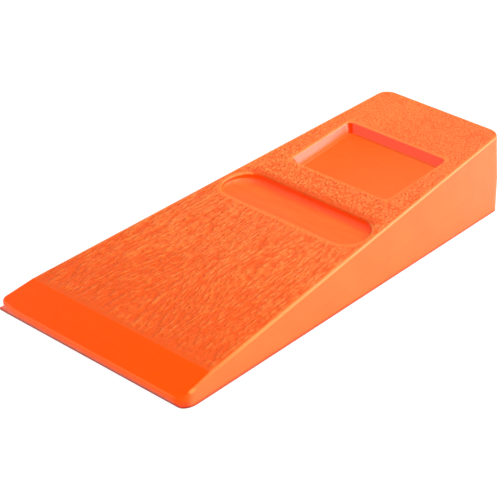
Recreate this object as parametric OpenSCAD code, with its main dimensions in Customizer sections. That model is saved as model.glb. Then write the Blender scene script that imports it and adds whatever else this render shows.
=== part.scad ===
// Felling wedge: one injection-moulded plastic piece.
// The origin is at the middle of the underside. +X points to the butt, +Z up, and +Y is on the
// left for someone who looks along +X. Millimetres.

/* [Body] */
// Length from the nose edge to the butt
body_l = 200; // [140:5:260]
// Width across the two side faces
body_w = 77; // [60:1:90]
// Height of the butt
butt_h = 30; // [22:1:40]
// Height that the bearing face would have if it ran on to the nose edge
root_h = 3.5; // [3:0.1:5]
// Radius of the two butt corners, seen from above
butt_corner_r = 7.5; // [3:0.5:12]
// Radius of the two nose corners, seen from above
nose_corner_r = 3.5; // [1:0.5:6]

/* [Nose] */
// Length of the steeper starting taper at the nose
band_l = 13; // [8:0.5:20]
// How far the starting taper drops below the bearing face at the nose edge
band_drop = 0.75; // [0.3:0.05:1.2]
// Radius of the blunt nose edge
nose_r = 2.6; // [1.5:0.1:2.8]

/* [Finger scoop] */
// Distance from the nose edge to the front rim of the scoop
scoop_x = 79.5; // [50:0.5:85]
// Size of the scoop along the wedge, which is also its end diameter
scoop_l = 18.5; // [12:0.5:24]
// Size of the scoop across the wedge
scoop_w = 70.5; // [40:0.5:72]
// Depth of the level scoop floor below its front rim
scoop_lip = 0.35; // [0.2:0.05:1]

/* [Label pocket] */
// Distance from the nose edge to the front rim of the pocket
pocket_x = 113.6; // [105:0.5:120]
// Size of the pocket along the wedge
pocket_l = 45; // [30:0.5:60]
// Width of the pocket at its front rim
pocket_front_w = 53; // [30:0.5:60]
// Width of the pocket at its back rim
pocket_back_w = 59; // [30:0.5:64]
// Depth of the pocket, square to the bearing face
pocket_depth = 3.1; // [1:0.1:5]
// How far the foot of the back wall stands in front of its rim
pocket_back_run = 3.4; // [0.5:0.1:5]
// How far the foot of the front wall stands behind its rim
pocket_front_run = 0.9; // [0.2:0.1:2]
// How far the foot of each side wall stands inside its rim
pocket_side_run = 0.95; // [0.2:0.05:2]

/* [Hidden] */

// Rise of the bearing face for each millimetre towards the butt
slope = (butt_h - root_h) / body_l;
slope_angle = atan(slope);
// Height of the bearing face at a distance x from the nose edge
function face_z(x) = root_h + slope * x;

// The starting taper: a line from the bearing face down towards the nose edge
band_z0 = root_h - band_drop;
band_slope = (face_z(band_l) - band_z0) / band_l;
band_angle = atan(band_slope);
// How far the nose round stands proud of the starting taper, so that the two cross cleanly
nose_proud = 0.02;
// Height of the centre of the nose round, which is tangent to the front
nose_z = band_z0 + band_slope * nose_r - (nose_r - nose_proud) / cos(band_angle);
// Distance from the nose edge at which the nose round meets the starting taper
round_x = nose_r * (1 - sin(band_angle));

// Half the width between the pocket's side rims at a distance u behind its front rim
function pocket_half(u) = (pocket_front_w + (pocket_back_w - pocket_front_w) * u / pocket_l) / 2;
// One corner of a level cut through the pocket: k is 0 at the rims and 1 at the floor, end is 0
// at the front wall and 1 at the back wall, and side is -1 or 1
function pocket_corner(k, end, side) =
    let (u = end * (pocket_l - pocket_back_run * k) + (1 - end) * pocket_front_run * k)
    [u, side * (pocket_half(u) - pocket_side_run * k), -pocket_depth * k];

// Length that carries a cut clear of the body
clear = 10;
round_fn = 96;

// Side outline of the wedge, with X to the right and Z up the page
module side_outline() {
    intersection() {
        union() {
            polygon([
                [nose_r, 0], [body_l, 0], [body_l, butt_h],
                [band_l, face_z(band_l)], [round_x, band_z0 + band_slope * round_x],
                [nose_r, nose_z]
            ]);
            translate([nose_r, nose_z]) circle(r = nose_r, $fn = round_fn);
            square([nose_r, nose_z]);
        }
        square([body_l, butt_h]);
    }
}

// What is cut away outside a round upright corner, with the corner towards +X and +Y
module corner_cut(r) {
    translate([-r, -r, -clear])
        difference() {
            cube([r + clear, r + clear, butt_h + 2 * clear]);
            translate([0, 0, -1]) cylinder(r = r, h = butt_h + 2 * clear + 2, $fn = round_fn);
        }
}

// The plain wedge, with its four upright corners rounded
module blank() {
    difference() {
        translate([0, body_w / 2, 0])
            rotate([90, 0, 0]) linear_extrude(height = body_w) side_outline();
        for (side = [0, 1]) mirror([0, side, 0]) {
            translate([body_l, body_w / 2, 0]) corner_cut(butt_corner_r);
            translate([0, body_w / 2, 0]) mirror([1, 0, 0]) corner_cut(nose_corner_r);
        }
    }
}

// Finger scoop: a slot with round ends and a level floor, so its back wall is the deep one
module scoop_cut() {
    end_r = scoop_l / 2;
    end_y = scoop_w / 2 - end_r;
    translate([scoop_x + end_r, 0, face_z(scoop_x) - scoop_lip]) {
        for (side = [-1, 1])
            translate([0, side * end_y, 0]) cylinder(r = end_r, h = clear, $fn = round_fn);
        translate([-end_r, -end_y, 0]) cube([scoop_l, 2 * end_y, clear]);
    }
}

// Label pocket: widens towards the butt, with four leaning walls and a floor along the face.
// The cut runs on above the face by as much as it is deep.
module pocket_cut() {
    corners = [
        for (k = [1, -1])
            for (at = [[0, -1], [1, -1], [1, 1], [0, 1]]) pocket_corner(k, at[0], at[1])
    ];
    translate([pocket_x, 0, face_z(pocket_x)]) rotate([0, -slope_angle, 0])
        polyhedron(
            points = corners,
            faces = [
                [0, 1, 2, 3], [7, 6, 5, 4],
                [4, 5, 1, 0], [5, 6, 2, 1], [6, 7, 3, 2], [7, 4, 0, 3]
            ]
        );
}

// Everything above is laid out from the nose edge; the finished wedge is centred on the origin
module wedge_body() {
    color("orangered") translate([-body_l / 2, 0, 0])
        difference() {
            blank();
            scoop_cut();
            pocket_cut();
        }
}

wedge_body();
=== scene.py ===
"""A felling wedge of moulded orange plastic, resting on its flat underside.

The wedge is built as one closed mesh. Its points are worked out in millimetres from the nose edge
(x towards the butt, y to the left, z up) and are turned into the frame's metres at the end.
"""

import math

import bpy
import numpy as np
from mathutils import Matrix, Vector


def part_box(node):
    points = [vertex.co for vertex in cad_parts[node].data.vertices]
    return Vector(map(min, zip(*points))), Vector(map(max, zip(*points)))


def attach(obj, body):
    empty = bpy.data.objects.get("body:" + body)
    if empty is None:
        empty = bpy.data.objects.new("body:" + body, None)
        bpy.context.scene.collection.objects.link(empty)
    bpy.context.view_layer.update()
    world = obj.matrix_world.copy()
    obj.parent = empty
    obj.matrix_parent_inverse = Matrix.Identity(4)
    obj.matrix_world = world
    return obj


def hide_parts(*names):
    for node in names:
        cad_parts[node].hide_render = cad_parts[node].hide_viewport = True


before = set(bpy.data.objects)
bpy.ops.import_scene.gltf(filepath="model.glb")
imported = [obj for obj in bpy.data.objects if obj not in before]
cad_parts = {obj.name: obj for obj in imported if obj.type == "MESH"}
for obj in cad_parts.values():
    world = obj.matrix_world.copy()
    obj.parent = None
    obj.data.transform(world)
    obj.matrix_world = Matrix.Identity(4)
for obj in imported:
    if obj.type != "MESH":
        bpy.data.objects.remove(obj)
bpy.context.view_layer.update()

# ---------------------------------------------------------------- sizes, from the frame

NODE = "wedge_body"
LOW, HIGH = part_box(NODE)
MM = (HIGH.x - LOW.x) / 200  # one millimetre of a 200 mm long wedge, in metres
LENGTH = (HIGH.x - LOW.x) / MM
HALF_WIDTH = (HIGH.y - LOW.y) / 2 / MM
BUTT_HEIGHT = (HIGH.z - LOW.z) / MM

ROOT_HEIGHT = 3.5  # where the sloping face would meet the nose
SLOPE = (BUTT_HEIGHT - ROOT_HEIGHT) / LENGTH
TILT = math.atan(SLOPE)

BAND_END = 13.0  # the smooth band behind the nose
BAND_DROP = 0.75  # how far the band dips below the sloping face at the nose
BAND_SLOPE = SLOPE + BAND_DROP / BAND_END

NOSE_CORNER = 3.5  # corner radii in plan
LIP_CORNER = 0.7  # the left end of the nose lip, which is nearly sharp
LIP_OUT = 0.25  # how far that end sticks out beyond the side
LIP_TOP = 1.6  # height up to which it does
CORNER_SET_BACK = 1.1  # how far the left nose corner stands back above the lip
CORNER_REACH = 9.0  # how far from the corner that goes on
BUTT_CORNER = 7.5
NOSE_ROUND = 2.05  # rounding of the nose, front to back
NOSE_WALL = 0.62  # height of the upright lip under that rounding
RIM_START = 4.5  # the rounded edge is shaded as nose before this, and as a rim with a painted highlight behind it
EDGE_ROUND = 0.6  # rounding of the long edges and the butt edge
DRAFT = 0.5  # how far the faces lie inside the mould's parting line
BUTT_BULGE = 1.2  # how far the butt swells out beyond that line, half way up
FULL_HEIGHT = 18.0  # walls lower than this have less draft and bulge
RIDGE = 0.35  # height from the parting line's middle to where its ridge starts
FOOT_ROUND = 0.15  # rounding of the bottom edge

SCOOP_FRONT, SCOOP_BACK = 79.5, 98.0
SCOOP_HALF = 35.25
SCOOP_LIP = 0.35  # depth of the level floor below the front rim
SCOOP_FLOOR = ROOT_HEIGHT + SLOPE * SCOOP_FRONT - SCOOP_LIP
SCOOP_PATCH = (77.0, 100.5, 36.4)  # front, back and half width of the patch of face round it

POCKET_FRONT = 113.6
POCKET_LENGTH = 45.0  # along the slope
POCKET_HALF_FRONT, POCKET_HALF_BACK = 26.5, 29.5
POCKET_DEPTH = 3.1
POCKET_LEAN_FRONT, POCKET_LEAN_BACK, POCKET_LEAN_SIDE = 0.9, 3.4, 0.95
POCKET_CORNER = 3.2  # radius of the corners of its rim
POCKET_PATCH = (111.0, 161.0, 31.5)


def smooth(value, start, end):
    """0 up to start, 1 from end on, and a soft step between them."""
    t = np.clip((value - start) / (end - start), 0, 1)
    return t * t * (3 - 2 * t)


def bezier(a, control, b, t):
    """The point at t of a curve from a to b that a sharp corner at control pulls outwards."""
    return (1 - t) ** 2 * a + 2 * t * (1 - t) * control + t * t * b


# ---------------------------------------------------------------- the grain

TABLE = 64  # random values along each side of a table, which repeats beyond that
MARGIN = 0.05  # the least distance of a cell's centre from the edge of its square

# For each kind of grain, the size of its cells along and across and the depth of the gaps between
# them, in millimetres, then how far from a gap the full height is reached, as a share of a cell
STREAKS = (2.6, 1.4, 0.08, 0.5)
GROOVES = (20.0, 2.4, 0.15, 0.2)
PEBBLES = (1.5, 1.4, 0.26, 0.55)
PEBBLE_SLANT = 0.2  # how much the rows of pebbles lean

# Where the grain starts and where it is full, as distances from the rims
EDGE_MARGIN = (0.1, 0.9)
SCOOP_MARGIN = (0.9, 2.0)
POCKET_MARGIN = (0.6, 1.4)
BAND_MARGIN = (0.1, 2.6)
BUTT_FADE, FADE_START, FADE_END = 0.38, 112.0, 165.0  # how much weaker it gets, and between where


def cell_gap(s, t, seed):
    """Distance to the nearest border of a random pattern of cells about 1 across."""
    centres = MARGIN + (1 - 2 * MARGIN) * np.random.default_rng(seed).random((TABLE, TABLE, 2))
    col, row = np.floor(s).astype(int), np.floor(t).astype(int)
    nearest = np.full(s.shape, np.inf)
    second = nearest.copy()
    for i in (-1, 0, 1):
        for j in (-1, 0, 1):
            spot = centres[(col + i) % TABLE, (row + j) % TABLE]
            gap = np.hypot(col + i + spot[..., 0] - s, row + j + spot[..., 1] - t)
            second = np.minimum(second, np.maximum(nearest, gap))
            nearest = np.minimum(nearest, gap)
    return second - nearest


def soft_noise(s, t, seed):
    """Smooth random values from 0 to 1 with features about 1 across."""
    table = np.random.default_rng(seed).random((TABLE, TABLE))
    col, row = np.floor(s).astype(int), np.floor(t).astype(int)
    fs, ft = smooth(s - col, 0, 1), smooth(t - row, 0, 1)
    corner = [[table[(col + i) % TABLE, (row + j) % TABLE] for j in (0, 1)] for i in (0, 1)]
    near = corner[0][0] * (1 - ft) + corner[0][1] * ft
    far = corner[1][0] * (1 - ft) + corner[1][1] * ft
    return near * (1 - fs) + far * fs


FAN_CENTRE = 3.0  # the y that the streaks of the front field close in on
FAN_HALF = 22.0
FAN_START, FAN_END = 16.0, 52.0
FAN_AT_NOSE, FAN_AT_END, FAN_AT_SCOOP = -3.0, 4.0, 1.5  # how far they are drawn in at each place


def streak_across(x, y):
    """The coordinate across the streaks, which close in on the fan's centre line on the way back."""
    amount = FAN_AT_NOSE + (FAN_AT_END - FAN_AT_NOSE) * smooth(x, FAN_START, FAN_END)
    amount = amount + (FAN_AT_SCOOP - FAN_AT_END) * smooth(x, FAN_END, SCOOP_FRONT)
    side = np.clip((y - FAN_CENTRE) / FAN_HALF, -1, 1)
    # Slow bends about 11 mm long, and quick ones about 3 mm long
    wander = 0.7 * soft_noise(x / 11, y / 4, 5) + 0.3 * soft_noise(x / 3, y / 1.5, 6)
    return y + amount * np.sin(math.pi * side) + wander


def rear_share(x):
    """0 in front of the scoop, where the grain is streaked, and 1 behind it, where it is pebbled."""
    return smooth(x, SCOOP_FRONT - 6, SCOOP_BACK)


def gaps(kind, x, y, slant, seed):
    """Height of one kind of grain, in millimetres: 0 on its cells and below 0 in the gaps."""
    along, across, depth, rise = kind
    return -depth * (1 - smooth(cell_gap(x / along + slant, y / across, seed), 0.0, rise))


def grain(x, y):
    """Height of the larger forms of the moulded grain, in millimetres, at or below 0."""
    across = streak_across(x, y)
    front = gaps(STREAKS, x, across, 0.0, 1) + gaps(GROOVES, x, across, 0.0, 2)
    rear = gaps(PEBBLES, x, y, PEBBLE_SLANT * across, 3)
    share = rear_share(x)
    height = front * (1 - share) + rear * share
    patches = 0.8 + 0.4 * soft_noise(x / 9, y / 9, 7)
    return height * patches


def scoop_distance(x, y):
    """Distance outside the scoop's rim, in plan."""
    radius = (SCOOP_BACK - SCOOP_FRONT) / 2
    centre = (SCOOP_BACK + SCOOP_FRONT) / 2
    along = np.maximum(np.abs(y) - (SCOOP_HALF - radius), 0)
    return np.hypot(x - centre, along) - radius


def pocket_distance(x, y):
    """Distance outside the pocket's rim, in plan."""
    back = POCKET_FRONT + POCKET_LENGTH * math.cos(TILT)
    centre = (POCKET_FRONT + back) / 2
    share = np.clip((x - POCKET_FRONT) / (back - POCKET_FRONT), 0, 1)
    half = POCKET_HALF_FRONT + (POCKET_HALF_BACK - POCKET_HALF_FRONT) * share
    return np.maximum(np.abs(x - centre) - (back - POCKET_FRONT) / 2, np.abs(y) - half)


def away_from_rims(x, y):
    """0 at the rims of the cavities and at the outer edges of the face, 1 away from them."""
    inner = HALF_WIDTH - DRAFT - EDGE_ROUND
    share = smooth(inner - np.abs(y), *EDGE_MARGIN)
    share = share * smooth(LENGTH - DRAFT - EDGE_ROUND - x, *EDGE_MARGIN)
    share = share * smooth(scoop_distance(x, y), *SCOOP_MARGIN)
    return share * smooth(pocket_distance(x, y), *POCKET_MARGIN)


def grain_share(x, y):
    """0 on the band, at the rims and at the edges, 1 on the grained face, less towards the butt."""
    share = smooth(x - BAND_END, *BAND_MARGIN) * (1 - BUTT_FADE * smooth(x, FADE_START, FADE_END))
    return away_from_rims(x, y) * share


FRONT_PAINTED_SHADE, FRONT_REACH = 0.3, 62.0  # painted shade: how much deeper the face is behind the band, and how far
REAR_PAINTED_LIGHT, LEFT_PAINTED_LIGHT = 0.15, 0.12  # painted light: how much paler it is behind the scoop, and more on the left
ROLL_PAINTED_SHADE, ROLL = 1.1, 4.5  # painted shade: how much deeper it is above the scoop's back wall, and how far


def painted_light_shift(x, y):
    """Painted light and shade on the face: how much paler it is than usual. It is painted deeper
    near the nose and where it rolls over the scoop's back wall, as shade, and paler behind the
    scoop, as light."""
    front = FRONT_PAINTED_SHADE * (1 - smooth(x, BAND_END, FRONT_REACH))
    behind = smooth(x, SCOOP_BACK - 13, SCOOP_BACK + 7)
    rear = (REAR_PAINTED_LIGHT + LEFT_PAINTED_LIGHT * smooth(y, -5.0, 20.0)) * behind
    over_wall = (x > SCOOP_BACK - 1) * (1 - smooth(x, SCOOP_BACK, SCOOP_BACK + ROLL))
    over_wall = over_wall * (1 - smooth(np.abs(y), SCOOP_HALF - 6, SCOOP_HALF))
    return rear - front - ROLL_PAINTED_SHADE * over_wall


def face_height(x):
    """Height of the smooth top: the band first, then the sloping face."""
    band = ROOT_HEIGHT - BAND_DROP + BAND_SLOPE * x
    return np.where(x < BAND_END, band, ROOT_HEIGHT + SLOPE * x)


def top_points(x, y):
    """Points of the top, with the grain, for plan positions x, y."""
    z = face_height(x) + grain(x, y) * grain_share(x, y)
    return np.stack([x, y, z], -1)


# ---------------------------------------------------------------- collecting the mesh


class Shell:
    """Collects points and faces. A face also holds the number of its material."""

    def __init__(self):
        self.points = []
        self.faces = []
        self.materials = []

    def add(self, points):
        """Adds points of any grid shape and gives back their numbers in the same shape."""
        shape = points.shape[:-1]
        start = sum(len(block) for block in self.points)
        self.points.append(points.reshape(-1, 3))
        return start + np.arange(int(np.prod(shape))).reshape(shape)

    def quads(self, ids, material, keep=None):
        """Faces between the neighbours of a grid of numbers, counter-clockwise from x to y."""
        corners = [ids[:-1, :-1], ids[1:, :-1], ids[1:, 1:], ids[:-1, 1:]]
        cells = np.stack(corners, -1)
        if keep is not None:
            cells = cells[keep]
        cells = cells.reshape(-1, 4)
        self.faces += cells.tolist()
        self.materials += [material] * len(cells)

    def bands(self, loops, material):
        """Faces between closed loops of the same number of points, from the first to the last."""
        ids = np.concatenate([loops, loops[:, :1]], 1)
        self.quads(ids, material)

    def face(self, ids, material):
        self.faces.append(list(ids))
        self.materials.append(material)


def border(ids):
    """The numbers round the edge of a grid, counter-clockwise from its first corner."""
    return np.concatenate([ids[:-1, 0], ids[-1, :-1], ids[:0:-1, -1], ids[0, :0:-1]])


GRAINED, BAND, FLOOR, WALL, SIDE, RIM = range(6)


# ---------------------------------------------------------------- the body


def spaced(stops):
    """Positions from a list of (end, number of steps) after a first start value."""
    values = [stops[0]]
    for (end, steps), start in zip(stops[1:], [stops[0]] + [s[0] for s in stops[1:-1]]):
        values += list(np.linspace(start, end, steps + 1)[1:])
    return np.array(values)


NOSE_STEPS, BUTT_STEPS = 8, 12  # columns of points round the nose corners and the butt corners
EDGE_STEPS = 6  # loops of points down the top's rounded outer edge
ROUND_STEPS = (0.25, 0.5, 0.75, 1.0)  # where they lie on the roundings of the scoop and the pocket
BOTTOM_STRIPS = 8
MIDDLE = spaced(
    [
        NOSE_CORNER,
        (BAND_END - 0.2, 14),
        (BAND_END, 1),
        (BAND_END + 1.0, 5),
        (SCOOP_PATCH[0], 158),
        (SCOOP_PATCH[1], 40),
        (POCKET_PATCH[0], 20),
        (POCKET_PATCH[1], 84),
        (LENGTH - BUTT_CORNER, 56),
    ]
)
TOP_HALF = HALF_WIDTH - DRAFT - EDGE_ROUND
HALF_ROWS = spaced([0.0, (POCKET_PATCH[2], 62), (SCOOP_PATCH[2], 10), (TOP_HALF, 2)]) / TOP_HALF
ROWS = np.concatenate([-HALF_ROWS[:0:-1], HALF_ROWS])


def stations(nose_inset, side_inset, butt_inset):
    """x and half width of every column for an outline that lies this far inside the widest one."""
    turn = np.linspace(0, math.pi / 2, NOSE_STEPS + 1)[:-1]
    nose_x = NOSE_CORNER - (NOSE_CORNER - nose_inset) * np.cos(turn)
    nose_half = HALF_WIDTH - NOSE_CORNER + (NOSE_CORNER - side_inset) * np.sin(turn)
    turn = np.linspace(0, math.pi / 2, BUTT_STEPS + 1)[1:]
    butt_x = LENGTH - BUTT_CORNER + (BUTT_CORNER - butt_inset) * np.sin(turn)
    butt_half = HALF_WIDTH - BUTT_CORNER + (BUTT_CORNER - side_inset) * np.cos(turn)
    middle_half = np.full(MIDDLE.shape, HALF_WIDTH - side_inset)
    x = np.concatenate([nose_x, MIDDLE, butt_x])
    return x, np.concatenate([nose_half, middle_half, butt_half])


def plan_grid(nose_inset, side_inset, butt_inset):
    x, half = stations(nose_inset, side_inset, butt_inset)
    return np.repeat(x[:, None], len(ROWS), 1), half[:, None] * ROWS[None, :]


def outline(nose_inset, side_inset, butt_inset):
    """The outline's plan points, in the order of border()."""
    x, y = plan_grid(nose_inset, side_inset, butt_inset)
    ids = border(np.arange(x.size).reshape(x.shape))
    return x.ravel()[ids], y.ravel()[ids]


def stack(x, y, z):
    return np.stack([x, y, z], -1)


def make_top(shell):
    """The top grid, without the patches round the scoop and the pocket."""
    x, y = plan_grid(NOSE_ROUND, DRAFT + EDGE_ROUND, DRAFT + EDGE_ROUND)
    ids = shell.add(top_points(x, y))
    keep = np.ones((x.shape[0] - 1, x.shape[1] - 1), bool)
    patches = []
    for front, back, half in (SCOOP_PATCH, POCKET_PATCH):
        i = [int(np.argmin(np.abs(x[:, 0] - value))) for value in (front, back)]
        j = [int(np.argmin(np.abs(ROWS * TOP_HALF - value))) for value in (-half, half)]
        keep[i[0] : i[1], j[0] : j[1]] = False
        patches.append(ids[i[0] : i[1] + 1, j[0] : j[1] + 1])
    on_band = (x[:-1, :-1] + x[1:, :-1]) / 2 < BAND_END
    shell.quads(ids, BAND, keep & on_band)
    shell.quads(ids, GRAINED, keep & ~on_band)
    return ids, patches


def round_edges(shell, top_ids):
    """Rounds the top's outer edge down to the walls. Gives the last loop and its heights."""
    in_x, in_y = outline(NOSE_ROUND, DRAFT + EDGE_ROUND, DRAFT + EDGE_ROUND)
    x, y = outline(0.0, DRAFT, DRAFT)
    from_nose = smooth(np.arccos(np.clip((NOSE_CORNER - x) / NOSE_CORNER, 0, 1)), 0, math.pi / 2)
    corner = stack(x, y, face_height(x))
    nose_drop = face_height(np.zeros(1))[0] - NOSE_WALL
    drop = nose_drop + (EDGE_ROUND - nose_drop) * from_nose
    wall_top = corner - stack(0 * x, 0 * x, drop)
    inner = stack(in_x, in_y, face_height(in_x))
    loops = [border(top_ids)]
    for t in np.linspace(0, 1, EDGE_STEPS + 1)[1:]:
        curve = bezier(inner, corner, wall_top, t)
        loops.append(shell.add(lip_end(curve, curve[:, 2])))
    rounding = np.array(loops)
    rounding = np.concatenate([rounding, rounding[:, :1]], 1)
    at_nose = x < RIM_START
    at_nose = np.repeat((at_nose | np.roll(at_nose, -1))[None], len(loops) - 1, 0)
    shell.quads(rounding, SIDE, at_nose)
    shell.quads(rounding, RIM, ~at_nose)
    return loops[-1], wall_top[:, 2]


def make_walls(shell, top_ids):
    """Edge rounding, drafted walls with the parting line, and the bottom."""
    first_loop, top_z = round_edges(shell, top_ids)
    foot = np.minimum(FOOT_ROUND, 0.4 * top_z)
    height = top_z - foot
    ridge = np.minimum(RIDGE, 0.18 * height)
    middle = foot + height / 2
    # How far out the wall stands, from 0 at its top and foot to 1 at the parting line, and where
    steps = (
        (0.06, top_z - 0.06 * height),
        (0.92, middle + ridge * 1.6),
        (0.94, middle + ridge),
        (1.0, middle + ridge * 0.4),
        (1.0, middle - ridge * 0.4),
        (0.94, middle - ridge),
        (0.92, middle - ridge * 1.6),
        (0.06, foot + 0.06 * height),
        (0.0, foot),
    )
    wide = stack(*outline(0.0, 0.0, -BUTT_BULGE), 0 * height)
    narrow = stack(*outline(0.0, DRAFT, DRAFT), 0 * height)
    bulge = np.clip(height / FULL_HEIGHT, 0.1, 1)[:, None]
    loops = [first_loop]
    for share, z in steps:
        plan = narrow + (wide - narrow) * share * bulge
        loops.append(shell.add(lip_end(plan, z) + stack(0 * z, 0 * z, z)))
    foot_start = narrow + stack(0 * foot, 0 * foot, foot)
    low_x, low_y = outline(FOOT_ROUND, DRAFT + FOOT_ROUND, DRAFT + FOOT_ROUND)
    foot_end = stack(low_x, low_y, 0 * foot)
    for t in (0.33, 0.67, 1.0):
        loops.append(shell.add(bezier(foot_start, narrow, foot_end, t)))
    shell.bands(np.array(loops), SIDE)
    make_bottom(shell, loops[-1], foot_end)


def lip_end(plan, z):
    """Pulls the left nose corner of an outline out to a nearly sharp one, low down only."""
    x, y = plan[:, 0], plan[:, 1]
    start = HALF_WIDTH - NOSE_CORNER
    new_start = HALF_WIDTH + LIP_OUT - LIP_CORNER
    on_arc = new_start + (y - start) * LIP_CORNER / NOSE_CORNER
    new_y = np.where(y > start, on_arc, y * new_start / start)
    share = (1 - smooth(z, LIP_TOP - 0.2, LIP_TOP + 0.1)) * ((y > 0) & (x < NOSE_CORNER + 0.01))
    share = share * (1 - smooth(np.hypot(x, HALF_WIDTH - y), NOSE_CORNER, 2 * NOSE_CORNER))
    new_x = x * LIP_CORNER / NOSE_CORNER
    return plan + stack((new_x - x) * share, (new_y - y) * share, 0 * x)


def set_back_corner(points):
    """Slides the left nose corner back along the band, above the end of the lip."""
    x, y, z = points.T
    near = 1 - smooth(np.hypot(x, HALF_WIDTH - y), 1.0, CORNER_REACH)
    back = CORNER_SET_BACK * near * smooth(z, LIP_TOP - 0.1, LIP_TOP + 0.6)
    return points + stack(back, 0 * back, BAND_SLOPE * back)


def make_bottom(shell, loop, points):
    """The underside: strips between the long edges, and one face behind each end."""
    columns = len(stations(0, 0, 0)[0])
    rows = len(ROWS)
    on_left = slice(columns + rows - 2, 2 * columns + rows - 2)
    right, left = loop[:columns], loop[on_left][::-1]
    right_points, left_points = points[:columns], points[on_left][::-1]
    inner = []
    for share in np.linspace(0, 1, BOTTOM_STRIPS + 1)[1:-1]:
        line = right_points[1:-1] * (1 - share) + left_points[1:-1] * share
        inner.append(shell.add(line))
    grid = np.stack([left[1:-1]] + inner[::-1] + [right[1:-1]], 1)
    shell.quads(grid, SIDE)
    butt = loop[columns - 1 : columns + rows - 1]
    shell.face(list(grid[-1]) + list(butt), SIDE)
    nose = np.concatenate([loop[2 * columns + rows - 3 :], loop[:1]])
    shell.face(list(grid[0][::-1]) + list(nose), SIDE)


# ---------------------------------------------------------------- the scoop and the pocket


def rounded_loop(front, back, half_front, half_back, radius, steps_long, steps_wide):
    """A rounded four-sided outline in plan, one point for each border point of its patch."""
    corners = np.array(
        [(front, -half_front), (back, -half_back), (back, half_back), (front, half_front)]
    )
    arcs = []
    for k in range(4):
        before = corners[k - 1] - corners[k]
        after = corners[(k + 1) % 4] - corners[k]
        before, after = before / np.hypot(*before), after / np.hypot(*after)
        half_angle = math.acos(float(before @ after)) / 2
        reach = radius / math.tan(half_angle)
        middle = (before + after) / np.hypot(*(before + after))
        centre = corners[k] + middle * radius / math.sin(half_angle)
        arcs.append((corners[k] + before * reach, corners[k] + after * reach, centre, half_angle))
    points = []
    for k, steps in zip(range(4), (steps_long, steps_wide, steps_long, steps_wide)):
        _, start, centre_a, angle_a = arcs[k]
        end, _, centre_b, angle_b = arcs[(k + 1) % 4]
        bend_a, bend_b = radius * (math.pi / 2 - angle_a), radius * (math.pi / 2 - angle_b)
        straight = np.hypot(*(end - start))
        for step in range(steps):
            distance = (bend_a + straight + bend_b) * step / steps
            if distance < bend_a:
                points.append(turned(start, centre_a, -(bend_a - distance) / radius))
            elif distance <= bend_a + straight:
                points.append(start + (end - start) * (distance - bend_a) / max(straight, 1e-9))
            else:
                points.append(turned(end, centre_b, (distance - bend_a - straight) / radius))
    return np.array(points)


def turned(point, centre, angle):
    """point turned about centre, counter-clockwise."""
    c, s = math.cos(angle), math.sin(angle)
    offset = point - centre
    return centre + np.array([c * offset[0] - s * offset[1], s * offset[0] + c * offset[1]])


def fill(shell, loop, points, long_steps, wide_steps, material):
    """Fills a loop with a grid whose lines blend between its four sides."""
    a = np.arange(len(loop) + 1) % len(loop)
    right = a[: long_steps + 1]
    butt = a[long_steps : long_steps + wide_steps + 1]
    left = a[long_steps + wide_steps : 2 * long_steps + wide_steps + 1][::-1]
    nose = a[2 * long_steps + wide_steps :][::-1]
    u = np.linspace(0, 1, long_steps + 1)[:, None, None]
    v = np.linspace(0, 1, wide_steps + 1)[None, :, None]
    sides = points[right][:, None] * (1 - v) + points[left][:, None] * v
    ends = points[nose][None] * (1 - u) + points[butt][None] * u
    first = points[right[0]] * (1 - v) + points[left[0]] * v
    last = points[right[-1]] * (1 - v) + points[left[-1]] * v
    grid = sides + ends - (first * (1 - u) + last * u)
    ids = np.empty(grid.shape[:2], int)
    ids[1:-1, 1:-1] = shell.add(grid[1:-1, 1:-1])
    ids[:, 0], ids[-1, :], ids[:, -1], ids[0, :] = loop[right], loop[butt], loop[left], loop[nose]
    shell.quads(ids, material)


def sink(shell, patch, rim_out, rim, wall_top, wall_foot, foot, floor, spread):
    """Joins a patch to a cavity: face, rounded rim, wall, rounded foot and floor. The spread is how
    many loops the strip of face between the patch's border and the rim gets."""
    loops = [border(patch)]
    start = np.concatenate(shell.points)[loops[0]]
    for share in np.linspace(0, 1, spread + 1)[1:]:
        plan = start * (1 - share) + rim_out * share
        loops.append(shell.add(top_points(plan[:, 0], plan[:, 1])))
    face_loops = len(loops)
    for t in ROUND_STEPS:
        loops.append(shell.add(bezier(rim_out, rim, wall_top, t)))
    for share in (0.1, 0.5, 0.9, 1.0):
        loops.append(shell.add(wall_top * (1 - share) + wall_foot * share))
    for t in ROUND_STEPS:
        loops.append(shell.add(bezier(wall_foot, foot, floor, t)))
    loops = np.array(loops)
    shell.bands(loops[: face_loops + 3][::-1], GRAINED)
    shell.bands(loops[face_loops + 2 : face_loops + 8][::-1], WALL)
    shell.bands(loops[face_loops + 7 :][::-1], FLOOR)
    long_steps, wide_steps = patch.shape[0] - 1, patch.shape[1] - 1
    fill(shell, loops[-1], floor, long_steps, wide_steps, FLOOR)


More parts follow.
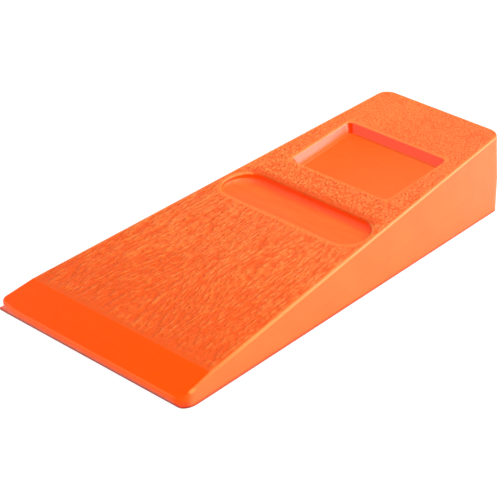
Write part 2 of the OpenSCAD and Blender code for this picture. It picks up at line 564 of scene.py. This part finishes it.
def make_scoop(shell, patch):
    """The finger scoop: a slot with round ends and a level floor that runs out at the front."""
    long_steps, wide_steps = patch.shape[0] - 1, patch.shape[1] - 1
    radius = (SCOOP_BACK - SCOOP_FRONT) / 2

    def loop(front_out, side_out, back_out, round_by):
        front, back = SCOOP_FRONT - front_out, SCOOP_BACK + back_out
        half = SCOOP_HALF + side_out
        return rounded_loop(front, back, half, half, round_by, long_steps, wide_steps)

    def at(plan, z):
        return stack(plan[:, 0], plan[:, 1], z)

    # Each loop stands so far outside the rim in front, at the ends and behind. The rim and the foot
    # are rounded widest behind, and the wall leans a little.
    rim_plan = loop(0, 0, 0, radius - 0.01)
    rim = at(rim_plan, face_height(rim_plan[:, 0]))
    height = rim[:, 2] - SCOOP_FLOOR
    out_plan = loop(0.9, 0.8, 2.1, radius + 0.4)
    rim_out = top_points(out_plan[:, 0], out_plan[:, 1])
    wall_top = at(rim_plan, rim[:, 2] - np.minimum(0.9, 0.45 * height))
    low_plan = loop(0, -0.2, -0.5, radius - 0.3)
    wall_foot = at(low_plan, SCOOP_FLOOR + np.minimum(1.2, 0.45 * height))
    foot = at(loop(-0.3, -1.0, -1.4, radius - 1.1), SCOOP_FLOOR + 0 * height)
    floor = at(loop(-1.5, -3.5, -5.0, radius - 3.4), SCOOP_FLOOR + 0 * height)
    sink(shell, patch, rim_out, rim, wall_top, wall_foot, foot, floor, 3)


def on_slope(along, y, up):
    """A point given along the slope from the pocket's front rim, across it, and square to it."""
    x = POCKET_FRONT + along * math.cos(TILT) - up * math.sin(TILT)
    z = ROOT_HEIGHT + SLOPE * POCKET_FRONT + along * math.sin(TILT) + up * math.cos(TILT)
    return stack(x, y + 0 * x, z)


def make_pocket(shell, patch):
    """The shallow pocket: wider at the back, with a floor parallel to the face."""
    long_steps, wide_steps = patch.shape[0] - 1, patch.shape[1] - 1

    def loop(grow, sink_share, radius, up):
        front = POCKET_LEAN_FRONT * sink_share - grow
        back = POCKET_LENGTH - POCKET_LEAN_BACK * sink_share + grow
        side = grow - POCKET_LEAN_SIDE * sink_share
        half_front, half_back = POCKET_HALF_FRONT + side, POCKET_HALF_BACK + side
        plan = rounded_loop(front, back, half_front, half_back, radius, long_steps, wide_steps)
        return on_slope(plan[:, 0], plan[:, 1], up)

    rim_fall, foot_rise = 0.3, 0.4  # where the roundings end, below the rim and above the floor
    rim = loop(0, 0, POCKET_CORNER, 0)
    rim_out = loop(0.3, 0, POCKET_CORNER + 0.3, 0)
    wall_top = loop(0, rim_fall / POCKET_DEPTH, POCKET_CORNER, -rim_fall)
    wall_foot = loop(0, 1 - foot_rise / POCKET_DEPTH, POCKET_CORNER - 0.2, foot_rise - POCKET_DEPTH)
    foot = loop(0, 1, POCKET_CORNER - 0.2, -POCKET_DEPTH)
    floor = loop(-0.4, 1, POCKET_CORNER - 0.6, -POCKET_DEPTH)
    sink(shell, patch, rim_out, rim, wall_top, wall_foot, foot, floor, 3)


def nose_shade_share(x, y, z):
    """1 at the nose corners and a little less on the rest of the nose, which is painted deeper in
    colour as shade.
    """
    corner = smooth(np.abs(y), HALF_WIDTH - 5, HALF_WIDTH - 2) * (1 - smooth(x - 1.2 * z, 0.0, 2.0))
    lip = (x < NOSE_ROUND) * (0.9 - 0.3 * smooth(z, LIP_TOP, LIP_TOP + 0.8))
    return np.maximum(corner, lip)


def mark(mesh, name, values):
    """Keeps three numbers with every point, for the materials to read."""
    layer = mesh.attributes.new(name, "FLOAT_VECTOR", "POINT")
    layer.data.foreach_set("vector", values.astype(np.float32).ravel())


def make_wedge():
    """The whole mesh, with its points' places, grain and shading kept for the materials."""
    shell = Shell()
    top_ids, (scoop_patch, pocket_patch) = make_top(shell)
    make_scoop(shell, scoop_patch)
    make_pocket(shell, pocket_patch)
    make_walls(shell, top_ids)
    points = set_back_corner(np.concatenate(shell.points))
    place = np.array([(LOW.x + HIGH.x) / 2 - LENGTH * MM / 2, (LOW.y + HIGH.y) / 2, LOW.z])
    mesh = bpy.data.meshes.new("wedge_shell")
    mesh.from_pydata((points * MM + place).tolist(), [], shell.faces)
    mesh.polygons.foreach_set("material_index", shell.materials)
    x, y, z = points.T
    mark(mesh, "grain_place", stack(x, streak_across(x, y), y))
    mark(mesh, "grain_mix", stack(grain_share(x, y), rear_share(x), grain(x, y)))
    # Painted highlight near the rims, painted shade on the nose, and painted light and shade along
    # the face
    shade = stack(1 - away_from_rims(x, y), nose_shade_share(x, y, z), painted_light_shift(x, y))
    mark(mesh, "shade_mix", shade)
    mesh.shade_smooth()
    wedge = bpy.data.objects.new("wedge_shell", mesh)
    bpy.context.scene.collection.objects.link(wedge)
    return wedge


# ---------------------------------------------------------------- materials


class Nodes:
    """Short calls for building a material's node tree."""

    def __init__(self, name):
        self.material = bpy.data.materials.new(name)
        self.material.use_nodes = True
        self.tree = self.material.node_tree
        self.shader = self.tree.nodes["Principled BSDF"]
        self.output = self.tree.nodes["Material Output"]

    def add(self, kind, inputs=None, **settings):
        node = self.tree.nodes.new(kind)
        for key, value in settings.items():
            setattr(node, key, value)
        for key, value in (inputs or {}).items():
            self.plug(value, node.inputs[key])
        return node

    def plug(self, value, socket):
        if isinstance(value, bpy.types.NodeSocket):
            self.tree.links.new(value, socket)
        else:
            socket.default_value = value

    def place(self, scale):
        """Object coordinates in millimetres, stretched by scale."""
        coords = self.add("ShaderNodeTexCoord").outputs["Object"]
        stretch = [1 / MM * s for s in scale]
        node = self.add("ShaderNodeMapping", {"Vector": coords, "Scale": stretch})
        return node.outputs["Vector"]

    def height(self):
        """Height above the wedge's foot, in millimetres."""
        return self.math("SUBTRACT", self.split(self.place((1, 1, 1)))[2], LOW.z / MM)

    def noise(self, scale, detail=2.0, rough=0.5):
        """Noise with features about 1 / scale millimetres across on each axis."""
        inputs = {"Vector": self.place(scale), "Scale": 1.0, "Detail": detail, "Roughness": rough}
        return self.add("ShaderNodeTexNoise", inputs).outputs["Fac"]

    def math(self, operation, a, b=0.0):
        return self.add("ShaderNodeMath", {0: a, 1: b}, operation=operation).outputs[0]

    def rest(self, share):
        """1 - share."""
        return self.math("SUBTRACT", 1.0, share)

    def split(self, vector):
        return self.add("ShaderNodeSeparateXYZ", {0: vector}).outputs

    def join(self, x, y, z):
        return self.add("ShaderNodeCombineXYZ", {0: x, 1: y, 2: z}).outputs[0]

    def kept(self, name):
        """The three numbers that mark() keeps with every point under this name."""
        node = self.add("ShaderNodeAttribute", attribute_name=name)
        return self.split(node.outputs["Vector"])

    def shrunk(self, vector, along, across):
        """Coordinates in which these distances, in millimetres, become 1."""
        inputs = {"Vector": vector, "Scale": (1 / along, 1 / across, 1)}
        return self.add("ShaderNodeMapping", inputs).outputs[0]

    def texture(self, vector, along, across, detail):
        """Noise in given coordinates, with features of about this size in millimetres."""
        inputs = {"Vector": self.shrunk(vector, along, across), "Scale": 1.0, "Detail": detail}
        return self.add("ShaderNodeTexNoise", inputs).outputs["Fac"]

    def cells(self, vector, along, across):
        """Rounded random cells: 1 at the middle of a cell and 0 on its border."""
        inputs = {"Vector": self.shrunk(vector, along, across), "Scale": 1.0}
        gap = self.add("ShaderNodeTexVoronoi", inputs, feature="F1").outputs["Distance"]
        return self.range(gap, 0.15, 0.75, 1.0, 0.0)

    def range(self, value, low, high, new_low, new_high):
        inputs = {"Value": value, 1: low, 2: high, 3: new_low, 4: new_high}
        return self.add("ShaderNodeMapRange", inputs).outputs["Result"]

    def blend(self, share, a, b):
        node = self.add("ShaderNodeMix", {0: share}, data_type="RGBA")
        self.plug(a, node.inputs[6])
        self.plug(b, node.inputs[7])
        return node.outputs[2]

    def bump(self, height, distance, strength=1.0, before=None):
        inputs = {"Height": height, "Distance": distance * MM, "Strength": strength}
        if before is not None:
            inputs["Normal"] = before
        return self.add("ShaderNodeBump", inputs).outputs["Normal"]


# Base colours
ORANGE_LIGHT = (0.78, 0.185, 0.032, 1)  # high spots of the grained face
ORANGE_FRONT = (0.78, 0.178, 0.020, 1)  # the same near the nose
GROOVE_SHADE_ORANGE = (0.69, 0.072, 0.0, 1)  # painted shade in its grooves
ORANGE_RED = (0.91, 0.070, 0.001, 1)  # the band, and the nose above its lip
FLOOR_LIGHT = (0.76, 0.112, 0.006, 1)
FLOOR_DEEP = (0.74, 0.088, 0.003, 1)
FLOOR_FAR_SHADE = (0.74, 0.080, 0.001, 1)  # painted shade in the pocket's far corner
WALL_SHADE_RED = (0.97, 0.058, 0.002, 1)  # the scoop's walls, redder as painted shade
WALL_SHEEN_PINK = (0.97, 0.085, 0.032, 1)  # the pocket's end walls, pink as a painted reflection
WALL_HIGHLIGHT_PALE = (0.93, 0.11, 0.022, 1)  # its side walls, at the top, as a painted highlight
WALL_CORNER_SHADE = (0.85, 0.035, 0.002, 1)  # painted shade where a side wall turns into an end wall
BAND_DEEP = (0.90, 0.064, 0.001, 1)
RIM_DEEP = (0.86, 0.12, 0.01, 1)
RIM_HIGHLIGHT = (0.81, 0.19, 0.026, 1)  # painted highlight on the long edges
SIDE_DEEP = (0.90, 0.116, 0.011, 1)
SIDE_LIGHT = (0.91, 0.126, 0.013, 1)
# painted shade low on the nose lip
LIP_SHADE_RED = (0.91, 0.052, 0.008, 1)
FOOT_DARK = (0.45, 0.075, 0.035, 1)  # the shadow line along the foot of the sides
LIP_FOOT = (0.32, 0.034, 0.024, 1)  # and of the nose lip

# Distances from the nose, and heights above the foot, between which colours change over
FRONT_TO_LIGHT = (20.0, 75.0)  # the grained face, paler towards the butt as painted light
SCOOP_TO_POCKET = (104.0, 108.0)  # the floors and walls
FLOOR_TO_WALL_SHADE = (SCOOP_BACK - 5.5, SCOOP_BACK - 1.8)  # the scoop's floor, into the walls' painted shade near the back wall
RIM_HIGHLIGHT_RAMP = (8.0, 30.0)  # the long edges' painted highlight
GLINT, GLINT_REACH = 5.8, (0.3, 1.3)  # a painted glint on them, and how far it goes
LIP_HEIGHT = (1.2, 2.2)  # the nose lip's painted shade
FOOT_HEIGHT = (0.35, 1.0)  # the shadow line along the sides
FOOT_AT_NOSE = (0.1, 0.65)  # and on the nose, where it is given from front to back
MIDDLE_NOISE = (0.35, 0.65)  # where most of a noise's values lie


GRAIN_RELIEF = 0.28  # height of the fine grain, in millimetres
GRAIN_GLOSS = 0.28


def grained_plastic():
    """The moulded grain: light raised streaks and pebbles, with painted shade in the grooves."""
    n = Nodes("grained_plastic")
    x, across, y = n.kept("grain_place")
    share, rear, form = n.kept("grain_mix")
    rim, _, shift = n.kept("shade_mix")
    streaks = n.cells(n.join(x, across, 0.0), 2.5, 1.05)
    pebbles = n.cells(n.join(x, y, 7.0), 1.25, 1.15)
    front_forms = n.math("MULTIPLY", streaks, n.rest(rear))
    forms = n.math("ADD", front_forms, n.math("MULTIPLY", pebbles, rear))
    forms = n.math("MULTIPLY", forms, n.range(rear, 0.0, 1.0, 0.5, 0.8))
    fibre = n.texture(n.join(x, across, 3.0), 0.95, 0.5, 3.0)
    fibre = n.math("MULTIPLY", n.math("SUBTRACT", fibre, 0.1), 0.8)
    lines = n.range(n.texture(n.join(x, across, 11.0), 11, 0.95, 2.0), *MIDDLE_NOISE, 0.0, 1.0)
    lines = n.math("SUBTRACT", n.math("MULTIPLY", lines, n.rest(rear)), 0.45)
    height = n.math("ADD", n.math("ADD", forms, fibre), n.math("MULTIPLY", lines, 0.35))
    height = n.math("MULTIPLY", height, share)
    # The colour follows the fine grain and the larger forms, with painted shade in the grooves, and
    # is paler towards the rims as a painted highlight
    tone = n.math("ADD", height, n.math("MULTIPLY", form, 1.2))
    tone = n.math("ADD", tone, n.math("MULTIPLY", rim, 0.35))
    tone = n.math("ADD", tone, n.math("MULTIPLY", n.rest(share), 0.5))
    # the painted light and shade along the face
    tone = n.math("ADD", tone, shift)
    cloud = n.range(n.noise((0.12, 0.12, 0.12)), *MIDDLE_NOISE, -0.05, 0.05)
    tone = n.range(n.math("ADD", tone, cloud), 0.15, 0.95, 0.0, 1.0)
    light = n.blend(n.range(x, *FRONT_TO_LIGHT, 0.0, 1.0), ORANGE_FRONT, ORANGE_LIGHT)
    n.plug(n.blend(tone, GROOVE_SHADE_ORANGE, light), n.shader.inputs["Base Color"])
    n.plug(n.range(tone, 0.0, 1.0, 0.55, 0.4), n.shader.inputs["Roughness"])
    n.plug(n.bump(height, GRAIN_RELIEF), n.shader.inputs["Normal"])
    n.plug(GRAIN_GLOSS, n.shader.inputs["Specular IOR Level"])
    return n.material


def flow_marks(n):
    """Faint streaks across the wedge, from 0 to 1, as left by the flow of the plastic."""
    return n.range(n.noise((0.7, 0.045, 0.7), 3.0, 0.6), *MIDDLE_NOISE, 0.0, 1.0)


def smooth_finish(n, colour, gloss, rough=0.3):
    """Smooth moulded plastic of this colour and gloss, with faint waves and rubbing."""
    n.plug(colour, n.shader.inputs["Base Color"])
    n.plug(gloss, n.shader.inputs["Specular IOR Level"])
    rub = n.noise((2.2, 0.2, 1.0), 3.0, 0.6)
    n.plug(n.range(rub, 0.3, 0.7, rough, rough + 0.12), n.shader.inputs["Roughness"])
    wave = n.bump(n.noise((0.25, 0.25, 0.25)), 0.12, 0.6)
    n.plug(n.bump(rub, 0.01, 0.5, wave), n.shader.inputs["Normal"])
    return n.material


def band_plastic():
    """The band behind the nose: deeper in colour and less grey than the grained face. Its deeper
    colour is painted shade, for the dark surroundings that its gloss reflects.
    """
    n = Nodes("band_plastic")
    return smooth_finish(n, n.blend(flow_marks(n), BAND_DEEP, ORANGE_RED), 0.04)


def floor_plastic():
    """The cavity floors. They are painted deeper, as shade, towards the scoop's back wall and the
    pocket's far corner.
    """
    n = Nodes("floor_plastic")
    x, _, y = n.kept("grain_place")
    in_pocket = n.range(x, *SCOOP_TO_POCKET, 0.0, 1.0)
    scoop_colour = n.blend(flow_marks(n), FLOOR_DEEP, FLOOR_LIGHT)
    # the scoop's floor turns into the walls' painted shade near its back wall
    scoop_colour = n.blend(n.range(x, *FLOOR_TO_WALL_SHADE, 0.0, 1.0), scoop_colour, WALL_SHADE_RED)
    backwards = n.range(x, POCKET_FRONT, POCKET_FRONT + POCKET_LENGTH, 0.0, 0.6)
    leftwards = n.range(y, -POCKET_HALF_FRONT, POCKET_HALF_BACK, -0.1, 0.5)
    to_shaded_corner = n.math("ADD", backwards, leftwards)
    pocket_colour = n.blend(to_shaded_corner, FLOOR_LIGHT, FLOOR_FAR_SHADE)
    colour = n.blend(in_pocket, scoop_colour, pocket_colour)
    duller = n.math("MULTIPLY", n.math("MULTIPLY", in_pocket, to_shaded_corner), 0.25)
    return smooth_finish(n, colour, n.math("SUBTRACT", 0.36, duller), 0.42)


def wall_plastic():
    """The rims and walls of the scoop and the pocket. The scoop's walls are painted redder as shade,
    the pocket's side walls have a painted highlight at the top, its end walls are pinker with a
    painted reflection, and the corners at its left wall are dark with painted shade."""
    n = Nodes("wall_plastic")
    sideways = n.split(n.add("ShaderNodeTexCoord").outputs["Normal"])[1]
    x = n.kept("grain_place")[0]
    in_pocket = n.range(x, *SCOOP_TO_POCKET, 0.0, 1.0)
    on_side = n.range(n.math("ABSOLUTE", sideways), 0.4, 0.9, 0.0, 1.0)
    not_end = n.range(sideways, -0.35, -0.15, 1.0, 0.0)
    # painted shade where a side wall turns into an end wall
    corner_shade = n.math("MULTIPLY", not_end, n.range(sideways, -0.85, -0.65, 0.0, 1.0))
    face = n.math("ADD", n.math("MULTIPLY", x, SLOPE), ROOT_HEIGHT)
    depth = n.math("SUBTRACT", face, n.height())
    low = n.range(depth, 0.5 * POCKET_DEPTH, 0.85 * POCKET_DEPTH, 0.0, 1.0)
    # side walls pale at the top as a painted highlight
    side_highlight_colour = n.blend(low, WALL_HIGHLIGHT_PALE, FLOOR_LIGHT)
    pocket_colour = n.blend(corner_shade, n.blend(on_side, WALL_SHEEN_PINK, side_highlight_colour), WALL_CORNER_SHADE)
    gloss = n.math("MULTIPLY", n.range(in_pocket, 0.0, 1.0, 0.1, 0.65), n.rest(corner_shade))
    gloss = n.math("MULTIPLY", gloss, n.rest(n.math("MULTIPLY", low, on_side)))
    return smooth_finish(n, n.blend(in_pocket, WALL_SHADE_RED, pocket_colour), gloss)


def rim_plastic():
    """The rounded long edges: a painted highlight, lighter away from the nose, and a painted glint
    in one spot near it.
    """
    n = Nodes("rim_plastic")
    x = n.kept("grain_place")[0]
    from_glint = n.math("ABSOLUTE", n.math("SUBTRACT", x, GLINT))
    glint = n.range(from_glint, *GLINT_REACH, 1.0, 0.0)
    rim_highlight = n.math("MAXIMUM", n.range(x, *RIM_HIGHLIGHT_RAMP, 0.0, 1.0), glint)
    return smooth_finish(n, n.blend(rim_highlight, RIM_DEEP, RIM_HIGHLIGHT), 0.5)


def side_plastic():
    """The drafted sides, the nose and the underside: satin, with fine upright mould marks, with
    painted shade that makes the nose corners and lip redder, and with a painted shadow line along
    the foot that the underside doesn't have."""
    n = Nodes("side_plastic")
    # where the nose corners and lip get their painted shade
    nose = n.kept("shade_mix")[1]
    x = n.kept("grain_place")[0]
    cloud = n.range(n.noise((0.08, 0.08, 0.08)), *MIDDLE_NOISE, 0.0, 1.0)
    colour = n.blend(cloud, SIDE_DEEP, SIDE_LIGHT)
    nose_shade_colour = n.blend(n.range(n.height(), *LIP_HEIGHT, 0.0, 1.0), LIP_SHADE_RED, ORANGE_RED)
    # painted shadow line along the foot
    foot = n.range(n.height(), *FOOT_HEIGHT, 1.0, 0.0)
    foot = n.math("MAXIMUM", foot, n.range(x, *FOOT_AT_NOSE, 1.0, 0.0))
    upward = n.split(n.add("ShaderNodeTexCoord").outputs["Normal"])[2]
    foot = n.math("MULTIPLY", foot, n.range(upward, -0.9, -0.5, 0.0, 1.0))
    foot_shadow_colour = n.blend(nose, FOOT_DARK, LIP_FOOT)
    colour = n.blend(foot, n.blend(nose, colour, nose_shade_colour), foot_shadow_colour)
    n.plug(colour, n.shader.inputs["Base Color"])
    gloss = n.math("MULTIPLY", n.range(nose, 0.0, 1.0, 0.5, 0.1), n.rest(foot))
    n.plug(gloss, n.shader.inputs["Specular IOR Level"])
    marks = n.noise((1.2, 1.2, 0.3), 3.0, 0.6)
    n.plug(n.range(marks, 0.3, 0.7, 0.4, 0.52), n.shader.inputs["Roughness"])
    wave = n.bump(n.noise((0.12, 0.12, 0.3)), 0.15, 0.6)
    n.plug(n.bump(marks, 0.015, 0.6, wave), n.shader.inputs["Normal"])
    return n.material


# ---------------------------------------------------------------- stage, light and camera


SQUARE = ((-1, -1), (1, -1), (1, 1), (-1, 1))
FLOOR_SIZE = 40 * LENGTH * MM
FLOOR_GAP = 0.05 * MM  # between the floor and the wedge's foot
FLOOR_BOUNCE = (0.78, 0.82)  # how much of the light it sends back
FLOOR_GLOW_NEAR, FLOOR_GLOW_FAR = 0.86, 1.05  # how bright the camera sees it, besides its shading
FLOOR_SHADE = 0.22  # how much of the shading the camera sees
GLOW_START, GLOW_END = 1.2 * LENGTH * MM, 3 * LENGTH * MM  # from the wedge's middle
TOUCHING = 0.3 * MM  # rays shorter than this don't meet the floor


def make_floor():
    """A large pale floor at the wedge's foot. Seen from below it lets the view through, and it does
    the same for rays that start in the gap between the two."""
    corners = [(x * FLOOR_SIZE, y * FLOOR_SIZE, LOW.z - FLOOR_GAP) for x, y in SQUARE]
    mesh = bpy.data.meshes.new("floor")
    mesh.from_pydata(corners, [], [(0, 1, 2, 3)])
    floor = bpy.data.objects.new("floor", mesh)
    bpy.context.scene.collection.objects.link(floor)
    n = Nodes("pale_floor")
    n.tree.nodes.remove(n.shader)
    path = n.add("ShaderNodeLightPath").outputs["Is Camera Ray"]
    speckle = n.range(n.noise((0.02, 0.02, 0.02)), 0.3, 0.7, *FLOOR_BOUNCE)
    bounce = n.add("ShaderNodeBsdfDiffuse", {"Color": speckle}).outputs[0]
    place = n.add("ShaderNodeTexCoord").outputs["Object"]
    away = n.add("ShaderNodeVectorMath", {0: place}, operation="LENGTH").outputs["Value"]
    strength = n.range(away, GLOW_START, GLOW_END, FLOOR_GLOW_NEAR, FLOOR_GLOW_FAR)
    glow = n.add("ShaderNodeEmission", {"Color": (1, 1, 1, 1), "Strength": strength}).outputs[0]
    grey = (FLOOR_SHADE, FLOOR_SHADE, FLOOR_SHADE, 1)
    seen = n.add("ShaderNodeBsdfDiffuse", {"Color": grey}).outputs[0]
    shown = n.add("ShaderNodeAddShader", {0: glow, 1: seen}).outputs[0]
    lit = n.add("ShaderNodeMixShader", {0: path, 1: bounce, 2: shown}).outputs[0]
    clear = n.add("ShaderNodeBsdfTransparent").outputs[0]
    under = n.add("ShaderNodeNewGeometry").outputs["Backfacing"]
    reach = n.add("ShaderNodeLightPath").outputs["Ray Length"]
    through = n.math("MAXIMUM", under, n.math("LESS_THAN", reach, TOUCHING))
    final = n.add("ShaderNodeMixShader", {0: through, 1: lit, 2: clear}).outputs[0]
    n.tree.links.new(final, n.output.inputs["Surface"])
    mesh.materials.append(n.material)


AMBIENT, HORIZON = 0.12, 0.7  # light from the room: overhead and near the horizon
STRIP_TOP, STRIP_END = 0.12, 0.30  # how high it is full, and where it ends, as the sine of a height


def make_world():
    """White for the camera. For other rays a dim even light with a brighter strip at the horizon."""
    world = bpy.data.worlds.new("studio")
    bpy.context.scene.world = world
    world.use_nodes = True
    tree = world.node_tree
    output = tree.nodes["World Output"]
    studio = tree.nodes["Background"]
    studio.inputs["Color"].default_value = (1, 1, 1, 1)
    path = tree.nodes.new("ShaderNodeLightPath")
    way = tree.nodes.new("ShaderNodeTexCoord")
    split = tree.nodes.new("ShaderNodeSeparateXYZ")
    tree.links.new(way.outputs["Generated"], split.inputs[0])
    strip = tree.nodes.new("ShaderNodeMapRange")
    tree.links.new(split.outputs["Z"], strip.inputs["Value"])
    for key, value in ((1, STRIP_TOP), (2, STRIP_END), (3, HORIZON), (4, AMBIENT)):
        strip.inputs[key].default_value = value
    strength = tree.nodes.new("ShaderNodeMix")
    tree.links.new(path.outputs["Is Camera Ray"], strength.inputs[0])
    tree.links.new(strip.outputs["Result"], strength.inputs[2])
    strength.inputs[3].default_value = 1.0
    tree.links.new(strength.outputs[0], studio.inputs["Strength"])
    tree.links.new(studio.outputs[0], output.inputs["Surface"])


def around(azimuth, elevation, distance):
    """A point this far from the wedge's middle. Azimuth 0 is on the right, 90 behind the butt."""
    a, e = math.radians(azimuth), math.radians(elevation)
    way = Vector((math.sin(a) * math.cos(e), -math.cos(a) * math.cos(e), math.sin(e)))
    return (LOW + HIGH) / 2 + way * distance


def add_light(name, azimuth, elevation, distance, size, power, mirrored=True):
    """A square soft box facing the wedge's middle, in metres and watts. The plastic's gloss shows it
    if mirrored is true."""
    lamp = bpy.data.lights.new(name, "AREA")
    lamp.shape = "SQUARE"
    lamp.size = size
    lamp.energy = power
    light = bpy.data.objects.new(name, lamp)
    light.location = around(azimuth, elevation, distance)
    back = light.location - (LOW + HIGH) / 2
    light.rotation_euler = back.to_track_quat("Z", "Y").to_euler()
    bpy.context.scene.collection.objects.link(light)
    light.visible_camera = False
    light.visible_glossy = mirrored


def make_lights():
    add_light("key", 40, 28, 1.3, 1.0, 21.0)
    add_light("front_fill", -60, 35, 1.4, 2.0, 6.5, False)
    add_light("nose_fill", -90, 4, 1.1, 0.5, 2.4, False)
    add_light("low_fill", 0, 12, 1.1, 0.8, 3.4)
    add_light("top", 0, 85, 1.0, 0.8, 3.0)
    add_light("top_butt", 90, 65, 0.7, 0.5, 3.2)
    add_light("back_top", 172, 52, 1.1, 0.45, 0.8)


SENSOR = 36.0
VIEW_HALF_ANGLE = math.radians(13)  # for the turned views
LENS = 17.293
SHIFT = (-0.5443, 0.4411)
CAMERA_PLACE = (-35.37, 17.88, 0.1841)  # azimuth, elevation and distance, as for around()
HEADING, LOOK_DOWN, ROLL_ANGLE = 79.642, 63.65, 17.41  # degrees


def make_camera():
    """A shift-lens camera, as in the product view. Once it is moved elsewhere it becomes a plain
    long-lens camera: drivers give the lens and the shift for the place where it stands."""
    data = bpy.data.cameras.new("camera")
    camera = bpy.data.objects.new("camera", data)
    bpy.context.scene.collection.objects.link(camera)
    bpy.context.scene.camera = camera
    camera.location = around(*CAMERA_PLACE)
    heading, down, roll = (math.radians(angle) for angle in (HEADING, LOOK_DOWN, ROLL_ANGLE))
    turn = Matrix.Rotation(-heading, 3, "Z") @ Matrix.Rotation(math.pi / 2 - down, 3, "X")
    camera.rotation_euler = (turn @ Matrix.Rotation(roll, 3, "Z")).to_euler()
    data.clip_start, data.clip_end = 0.005, 50
    data.sensor_fit = "VERTICAL"
    data.sensor_height = SENSOR
    data.lens = LENS
    data.sensor_width = 2 * LENS * math.tan(VIEW_HALF_ANGLE)
    data.shift_x, data.shift_y = SHIFT
    home = camera.location
    drive(camera, "lens", LENS, SENSOR / 2 / math.tan(VIEW_HALF_ANGLE), home)
    drive(camera, "shift_x", SHIFT[0], 0.0, home)
    drive(camera, "shift_y", SHIFT[1], 0.0, home)


def drive(camera, setting, at_home, elsewhere, home):
    """Gives the camera one setting at home and another everywhere else."""
    driver = camera.data.driver_add(setting).driver
    driver.type = "SCRIPTED"
    for name, kind in (("x", "LOC_X"), ("y", "LOC_Y")):
        place = driver.variables.new()
        place.name = name
        place.type = "TRANSFORMS"
        place.targets[0].id = camera
        place.targets[0].transform_type = kind
        place.targets[0].transform_space = "WORLD_SPACE"
    away = f"abs(x - {home.x:.6f}) + abs(y - {home.y:.6f}) > 0.001"
    driver.expression = f"{elsewhere:.6f} if {away} else {at_home:.6f}"


# ---------------------------------------------------------------- putting it together

wedge = make_wedge()
for make in (grained_plastic, band_plastic, floor_plastic, wall_plastic, side_plastic, rim_plastic):
    wedge.data.materials.append(make())
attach(wedge, "root")
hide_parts(NODE)
make_floor()
make_world()
make_lights()
make_camera()
bpy.context.scene.view_settings.view_transform = "Standard"
